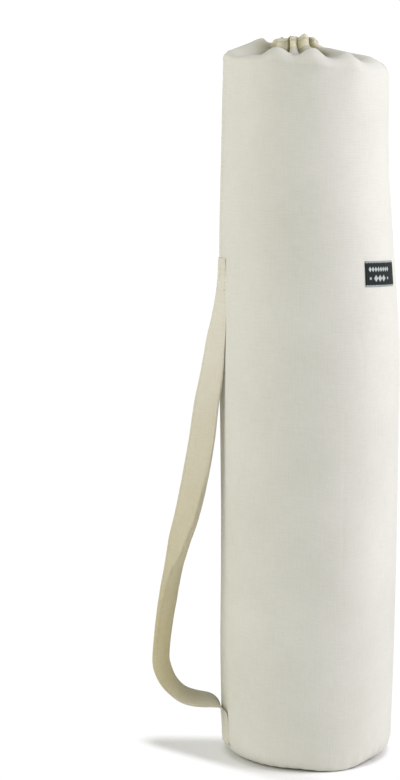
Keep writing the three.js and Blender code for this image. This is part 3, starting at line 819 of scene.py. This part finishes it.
def labelMotif(x, y):
    # how much of the pale thread shows at a place on the label, in millimetres from its middle
    x = x - label["motifShift"]
    motif = np.zeros(x.shape)
    for middle, count, spacing, halfWidth, halfHeight in labelRows:
        for k in range(count):
            centre = (k - (count - 1) / 2) * spacing
            reach = np.abs(x - centre) / halfWidth + np.abs(y - middle) / halfHeight
            motif = np.maximum(motif, np.clip((1.12 - reach) / 0.24, 0, 1))
    for side in (-1, 1):
        away = np.maximum(np.abs(x - side * label["dotAt"][0]), np.abs(y - label["dotAt"][1]))
        motif = np.maximum(motif, np.clip((1.25 - away) / 0.4, 0, 1))
    for border in (-1, 1):
        away = np.abs(y - border * label["borderAt"])
        motif = np.maximum(motif, 0.75 * np.clip((1.0 - away) / 0.4, 0, 1))
    return motif


def makeLabelDamask():
    # Damask-woven polyester. To the eye: near-black satin ground with fine ribs, pale floating threads
    # for the pattern, a soft shine across the ribs.
    material, tree, shader, out = newMaterial("damaskWovenPolyester", **{
        "Roughness": 0.7, "IOR": 1.57, "Specular IOR Level": 0.2, "Sheen Weight": 0.05})
    uv = addNode(tree, "UVMap", uv_map="clothMetres")
    # the real ribs are 0.2 mm apart, drawn coarser at 0.6 mm
    ribs = addNode(tree, "TexWave", {"Vector": uv, "Scale": waveRepeat / 0.6}, bands_direction="Y")
    fuzz = addNode(tree, "TexNoise", {"Vector": uv, "Scale": 900.0, "Detail": 2.0}, noise_dimensions="2D")
    motif = addNode(tree, "Attribute", attribute_name="paleThread").outputs["Fac"]
    broken = addNode(tree, "MapRange", {0: fuzz, 1: 0.3, 2: 0.7, 3: 0.6, 4: 1.0})
    shown = addNode(tree, "Math", {0: motif, 1: broken}, operation="MULTIPLY")
    darker, lighter = [hexColour(code) for code in label["ground"]]
    ground = addNode(tree, "Mix", {0: fuzz, 6: darker, 7: lighter}, data_type="RGBA").outputs[2]
    colour = addNode(tree, "Mix", {0: shown, 6: ground, 7: hexColour(label["pale"])}, data_type="RGBA")
    height = addNode(tree, "Math", {0: ribs.outputs[1], 1: 0.5, 2: motif}, operation="MULTIPLY_ADD")
    surface = addNode(tree, "Bump", {"Strength": 0.3, "Distance": 0.0002, "Height": height})
    tree.links.new(colour.outputs[2], shader.inputs["Base Color"])
    tree.links.new(surface.outputs[0], shader.inputs["Normal"])
    return material


def makeLabel():
    middle, width, height = label["middle"], label["width"], label["height"]
    radius = float(wallRadius(np.array([label["bearing"]]), np.array([middle]))[0])
    across = np.linspace(-width / 2, width / 2, label["acrossSteps"] + 1)
    up = np.linspace(-height / 2, height / 2, label["upSteps"] + 1)
    a, u = np.meshgrid(across, up)
    turn = math.radians(label["turn"])
    bearing = label["bearing"] + np.degrees((a * math.cos(turn) - u * math.sin(turn)) / radius)
    z = middle + u * math.cos(turn) + a * math.sin(turn)
    wall = wallRadius(bearing, z)

    def layer(proud):
        angle = np.radians(bearing)
        return np.stack([wallLean(z) + (wall + proud) * np.cos(angle), (wall + proud) * np.sin(angle), z], -1)

    # the cloth under it is a little uneven, and the label lies on it; sewn edges sit lower than the middle
    fromEdge = np.minimum(width / 2 - np.abs(a), height / 2 - np.abs(u))
    rounded = roundedEdge(fromEdge / 0.7)
    sewn = 0.3 * np.exp(-((fromEdge - 1.6) / 0.8) ** 2)
    puff = 0.25 * smoothStep(fromEdge, 2.0, 7.0)
    ground = cloudAt(layer(0) * np.array([1, 1, 0.35]), 48, 1) * 0.4
    front = layer(label["gap"] + 0.15 + (label["thickness"] - 0.15) * rounded - sewn + puff + ground)
    back = layer(label["gap"] * 0.2 + ground)
    rows, columns = front.shape[:2]
    size = rows * columns
    points = np.concatenate([front.reshape(-1, 3), back.reshape(-1, 3)])
    faces = gridFaces(rows, columns) + [face[::-1] for face in gridFaces(rows, columns, first=size)]
    rim = [c for c in range(columns)] + [r * columns + columns - 1 for r in range(1, rows)]
    rim += [(rows - 1) * columns + c for c in range(columns - 2, -1, -1)]
    rim += [r * columns for r in range(rows - 2, 0, -1)]
    for k, here in enumerate(rim):
        then = rim[(k + 1) % len(rim)]
        faces.append((then, here, size + here, size + then))
    uvs = np.stack([a, u], -1).reshape(-1, 2) / 1000
    piece = makeMesh("wovenLabel", points, faces, np.concatenate([uvs, uvs]))
    motif = labelMotif(a, u).ravel()
    setPointValues(piece, "paleThread", np.concatenate([motif, motif * 0]))
    dress(piece, makeLabelDamask(), "label", "woven_label")
    return piece, front


wovenLabel, labelFront = makeLabel()
print("label:", len(wovenLabel.data.polygons), "faces")


# Spun cotton sewing thread, one shade off the canvas. To the eye: small raised grains, matt, slightly darker
# at their ends where they go into the cloth.
thread = {
    "length": 2.7,
    "gap": 1.0,
    "width": 0.5,  # the real thread is 0.4 mm
    "sink": 0.2,
}


def makeThread(name, darker, lighter):
    material, tree, shader, out = newMaterial(name, **{"Roughness": 0.8, "Sheen Weight": 0.15})
    place = addNode(tree, "TexCoord").outputs["Object"]
    twist = addNode(tree, "TexNoise", {"Vector": place, "Scale": 900.0, "Detail": 2.0})
    tint = addNode(tree, "Mix", {0: twist, 6: hexColour(darker), 7: hexColour(lighter)}, data_type="RGBA")
    surface = addNode(tree, "Bump", {"Strength": 0.4, "Distance": 0.0002, "Height": twist})
    tree.links.new(tint.outputs[2], shader.inputs["Base Color"])
    tree.links.new(surface.outputs[0], shader.inputs["Normal"])
    return material


def stitchTemplate():
    # one stitch, 1 long and 1 wide, bent down at its ends
    rings, sides = 5, 6
    points = [(-0.5, 0, -0.9)]
    for k in range(1, rings + 1):
        t = -0.5 + k / (rings + 1)
        size = math.sqrt(1 - (2 * t) ** 2)
        for s in range(sides):
            angle = 2 * math.pi * s / sides
            points.append((t, size * math.cos(angle) / 2, size * math.sin(angle) / 2 - 3.6 * t * t + 0.1))
    points.append((0.5, 0, -0.9))
    faces = [(0, 1 + (s + 1) % sides, 1 + s) for s in range(sides)]
    for k in range(rings - 1):
        for s in range(sides):
            a, b = 1 + k * sides + s, 1 + k * sides + (s + 1) % sides
            faces.append((a, b, b + sides, a + sides))
    last = len(points) - 1
    faces += [(last, last - sides + s, last - sides + (s + 1) % sides) for s in range(sides)]
    return np.array(points), faces


def laySeam(lines):
    # lines: pairs of points and outward directions along a row of stitches
    template, templateFaces = stitchTemplate()
    points, faces = [], []
    for path, facing in lines:
        path, facing = np.asarray(path, float), np.asarray(facing, float)
        length = np.concatenate([[0], np.cumsum(np.linalg.norm(np.diff(path, axis=0), axis=1))])
        pitch = thread["length"] + thread["gap"]
        count = max(1, int(length[-1] / pitch))
        pitch = length[-1] / count
        for k in range(count):
            at = (k + 0.5) * pitch
            ends = [np.array([np.interp(at + d, length, path[:, i]) for i in range(3)])
                    for d in (-0.4 * pitch, 0.4 * pitch)]
            along = unit(ends[1] - ends[0])
            out = unit(np.array([np.interp(at, length, facing[:, i]) for i in range(3)]))
            side = unit(np.cross(out, along))
            out = np.cross(along, side)
            middle = (ends[0] + ends[1]) / 2 + out * (thread["width"] / 2 - thread["sink"])
            w = thread["width"]
            spot = (template[:, :1] * along * thread["length"] + template[:, 1:2] * side * w
                    + template[:, 2:] * out * w)
            faces += [tuple(len(points) * len(template) + i for i in face) for face in templateFaces]
            points.append(middle + spot)
    return np.concatenate(points), faces


def surfaceRow(grid, row, columns=slice(None), closed=False):
    # a row of a surface's grid with its outward directions
    path = grid[row, columns]
    step = np.gradient(path, axis=0)
    up = (grid[min(row + 1, len(grid) - 1)] - grid[max(row - 1, 0)])[columns]
    facing = unit(np.cross(step, up))
    if closed:
        path, facing = np.concatenate([path, path[:1]]), np.concatenate([facing, facing[:1]])
    return path, facing


def addStitches(name, lines, material, slotName):
    points, faces = laySeam(lines)
    piece = makeMesh(name, points, faces)
    return dress(piece, material, slotName)


canvasThread = makeThread("spunCottonThread", "#d8d2be", "#e8e4d6")
labelThread = makeThread("darkPolyesterThread", "#141d1b", "#2a3533")


def strapLine(across, start, end, side):
    # a row along the strap, on its outer or inner face
    place = int(round(across / strap["width"] * strap["acrossSteps"]))
    grid = strapFront if side > 0 else strapBack
    rows = slice(int(start * (len(strapAt) - 1)), int(end * (len(strapAt) - 1)) + 1)
    return grid[rows, place], side * strapDirections[rows, place]


inset = strap["stitchInset"]
strapRows = [strapLine(across, 0.004, 0.996, side)
             for side in (1, -1) for across in (inset, strap["width"] - inset)]


def strapBox(startMm, endMm, side):
    # a sewn square with a cross in it, which holds the strap's end on the bag
    far = strap["width"] - inset
    corners = [(inset, startMm), (far, startMm), (far, endMm), (inset, endMm)]
    lines = []
    for a, b in ((0, 1), (2, 3), (0, 2), (1, 3)):
        share = np.linspace(0, 1, 24)[:, None]
        spots = np.array(corners[a]) * (1 - share) + np.array(corners[b]) * share
        columns = spots[:, 0] / strap["width"] * strap["acrossSteps"]
        rows = spots[:, 1] / strapAt[-1] * (len(strapAt) - 1)
        grid = strapFront if side > 0 else strapBack
        index = (np.clip(np.round(rows), 0, len(strapAt) - 1).astype(int), np.round(columns).astype(int))
        lines.append((grid[index], side * strapDirections[index]))
    return lines


length = strapAt[-1]
strapLines = strapRows + strapBox(3, 30, 1) + strapBox(length - 30, length - 3, -1)
strapStitches = addStitches("strapStitches", strapLines, canvasThread, "strap_canvas")
hemLine = surfaceRow(hemOutside, hemStitchRow, closed=True)
hemStitches = addStitches("hemStitches", [hemLine], canvasThread, "canvas_hem")


def wallLine(bearing, low, high):
    # up the wall at one bearing
    nearest = int(np.argmin(np.abs(turnBetween(bearing, bearings))))
    rows = np.where((outsideCloth[:, nearest, 2] > low) & (outsideCloth[:, nearest, 2] < high))[0]
    rows = rows[rows < firstCrownRow - 4]
    path = outsideCloth[rows, nearest]
    facing = np.tile([math.cos(math.radians(bearing)), math.sin(math.radians(bearing)), 0], (len(rows), 1))
    return path, facing


seamAngle = math.degrees(body["seamRow"] / 82)  # 82 mm is about the wall's mean radius
seamStitches = addStitches("sideSeamStitches", [
    wallLine(body["seamBearing"] + side * seamAngle, 12, 640) for side in (-1, 1)
], canvasThread, "canvas")

labelInset = 4  # grid steps from the label's edge to its stitches
labelSpan = slice(labelInset, label["acrossSteps"] - labelInset + 1)
edgeRows = [surfaceRow(labelFront, row, labelSpan) for row in (labelInset, label["upSteps"] - labelInset)]
for place in (labelInset, label["acrossSteps"] - labelInset):
    path = labelFront[labelInset:-labelInset, place]
    edgeRows.append((path, unit(path * np.array([1, 1, 0]))))
labelStitches = addStitches("labelStitches", edgeRows, labelThread, "label")
stitchPieces = (strapStitches, hemStitches, seamStitches, labelStitches)
print("stitches:", sum(len(piece.data.polygons) for piece in stitchPieces), "faces")


studio = {
    "paper": "#e8e8e6",
    "paperLift": 0.18,  # how much brighter the paper looks in the shadow than it would by itself
    # the shadow's sides: the bearing that each faces, and where it starts and is full, from the bag's middle
    "shadeSides": [(256.0, -0.045, -0.01), (215.4, 0.104, 0.083), (166.0, -0.03, 0.01)],
    "shadeReach": (0.14, 0.172),  # and how far from there it starts to fade and is gone
    "footLine": (0.073, 0.082),  # the same for the dark line under the bag's bottom edge
    "roomLow": 0.58,  # brightness of the room round the bag
    "roomHigh": 0.14,  # and overhead
}
# turn is the bearing from the camera's, to the right, in degrees; sizes and places are in metres
softboxes = [
    {"name": "keySoftbox", "turn": 78, "far": 1.7, "up": 1.3, "width": 1.4, "tall": 1.5, "power": 33.5,
     "colour": "#f4f1fb"},
    {"name": "fillSoftbox", "turn": -66, "far": 1.9, "up": 1.25, "width": 0.9, "tall": 1.5, "power": 19.7,
     "colour": "#fffdf8"},
]


def makeFloor():
    size = 14.0
    corners = [(-size, -size, 0), (size, -size, 0), (size, size, 0), (-size, size, 0)]
    mesh = bpy.data.meshes.new("studioFloor")
    mesh.from_pydata(corners, [], [(0, 1, 2, 3)])
    floor = bpy.data.objects.new("studioFloor", mesh)
    bpy.context.scene.collection.objects.link(floor)
    material, tree, paper, out = newMaterial("whitePaperSweep", **{
        "Base Color": hexColour(studio["paper"]), "Roughness": 0.9, "Specular IOR Level": 0.1})
    # The camera sees plain white paper but for the soft shadow beside the base, on the far side from the key
    # light, and the dark line that the bag's own edge throws along its foot.
    place = addNode(tree, "TexCoord").outputs["Object"]
    away = addNode(tree, "VectorMath", {0: place}, operation="LENGTH").outputs["Value"]
    low, high = studio["shadeReach"]
    near = addNode(tree, "MapRange", {0: away, 1: high, 2: low}, interpolation_type="SMOOTHSTEP")
    wedge = near  # the shadow's shape, from 0 to 1
    for turn, start, end in studio["shadeSides"]:
        facing = (math.cos(math.radians(turn)), math.sin(math.radians(turn)), 0)
        along = addNode(tree, "VectorMath", {0: place, 1: facing}, operation="DOT_PRODUCT").outputs["Value"]
        side = addNode(tree, "MapRange", {0: along, 1: start, 2: end}, interpolation_type="SMOOTHSTEP")
        wedge = addNode(tree, "Math", {0: wedge, 1: side}, operation="MULTIPLY")
    low, high = studio["footLine"]
    foot = addNode(tree, "MapRange", {0: away, 1: high, 2: low}, interpolation_type="SMOOTHSTEP")
    shade = addNode(tree, "Math", {0: wedge, 1: foot}, operation="MAXIMUM")
    lift = addNode(tree, "MapRange", {0: foot, 3: studio["paperLift"], 4: 0.0})
    lifted = addNode(tree, "AddShader", {0: paper, 1: addNode(tree, "Emission", {"Strength": lift})})
    white = addNode(tree, "Emission", {"Strength": 1.02})
    shown = addNode(tree, "MixShader", {0: shade, 1: white, 2: lifted})
    seen = addNode(tree, "LightPath").outputs["Is Camera Ray"]
    surface = addNode(tree, "MixShader", {0: seen, 1: paper, 2: shown})
    tree.links.new(surface.outputs[0], out.inputs["Surface"])
    mesh.materials.append(material)


def makeWorld():
    world = bpy.data.worlds.new("whiteStudio")
    bpy.context.scene.world = world
    world.use_nodes = True
    tree = world.node_tree
    tree.nodes.clear()
    direction = addNode(tree, "TexCoord").outputs["Generated"]
    upward = addNode(tree, "SeparateXYZ", {0: direction}).outputs[2]
    strength = addNode(tree, "MapRange", {
        0: upward, 1: 0.1, 2: 0.9, 3: studio["roomLow"], 4: studio["roomHigh"]})
    white = (1, 1, 1, 1)
    room = addNode(tree, "Background", {"Color": white, "Strength": strength})
    backdrop = addNode(tree, "Background", {"Color": white, "Strength": 1.05})
    seen = addNode(tree, "LightPath").outputs["Is Camera Ray"]
    surface = addNode(tree, "MixShader", {0: seen, 1: room, 2: backdrop})
    addNode(tree, "OutputWorld", {"Surface": surface})


def addSoftbox(name, turn, far, up, width, tall, power, colour):
    lamp = bpy.data.lights.new(name, "AREA")
    lamp.shape = "RECTANGLE"
    lamp.size, lamp.size_y = width, tall
    lamp.energy = power
    lamp.color = hexColour(colour)[:3]
    holder = bpy.data.objects.new(name, lamp)
    angle = math.radians(camera["bearing"] + turn)
    holder.location = (far * math.cos(angle), far * math.sin(angle), up)
    holder.rotation_euler = (Vector((0, 0, 0.3)) - holder.location).to_track_quat("-Z", "Y").to_euler()
    bpy.context.scene.collection.objects.link(holder)


camera = {
    "bearing": 256.0,  # direction from the bag to the camera
    "distance": 1.86,
    "height": 0.58,
    "pitch": 7.2,
    "yaw": 3.055,  # aimed this far to the left of the bag
    "roll": 0.378,
    "lens": 92.49,
}


def makeCamera():
    angle = math.radians(camera["bearing"])
    back = Vector((math.cos(angle), math.sin(angle), 0))
    right = Vector((-math.sin(angle), math.cos(angle), 0))
    yaw, pitch, roll = [math.radians(camera[name]) for name in ("yaw", "pitch", "roll")]
    ahead = -back * math.cos(yaw) - right * math.sin(yaw)
    right = right * math.cos(yaw) - back * math.sin(yaw)
    forward = ahead * math.cos(pitch) - Vector((0, 0, math.sin(pitch)))
    up = ahead * math.sin(pitch) + Vector((0, 0, math.cos(pitch)))
    turnedRight = right * math.cos(roll) - up * math.sin(roll)
    turnedUp = up * math.cos(roll) + right * math.sin(roll)
    data = bpy.data.cameras.new("photoCamera")
    data.sensor_width = 36
    data.lens = camera["lens"]
    data.clip_end = 60
    holder = bpy.data.objects.new("photoCamera", data)
    place = back * camera["distance"] + Vector((0, 0, camera["height"]))
    axes = [(*axis, 0) for axis in (turnedRight, turnedUp, -forward)]
    holder.matrix_world = Matrix([*axes, (*place, 1)]).transposed()
    bpy.context.scene.collection.objects.link(holder)
    bpy.context.scene.camera = holder


makeFloor()
makeWorld()
for softbox in softboxes:
    addSoftbox(**softbox)
makeCamera()
bpy.context.scene.view_settings.view_transform = "Standard"
print("floor, light and camera made")
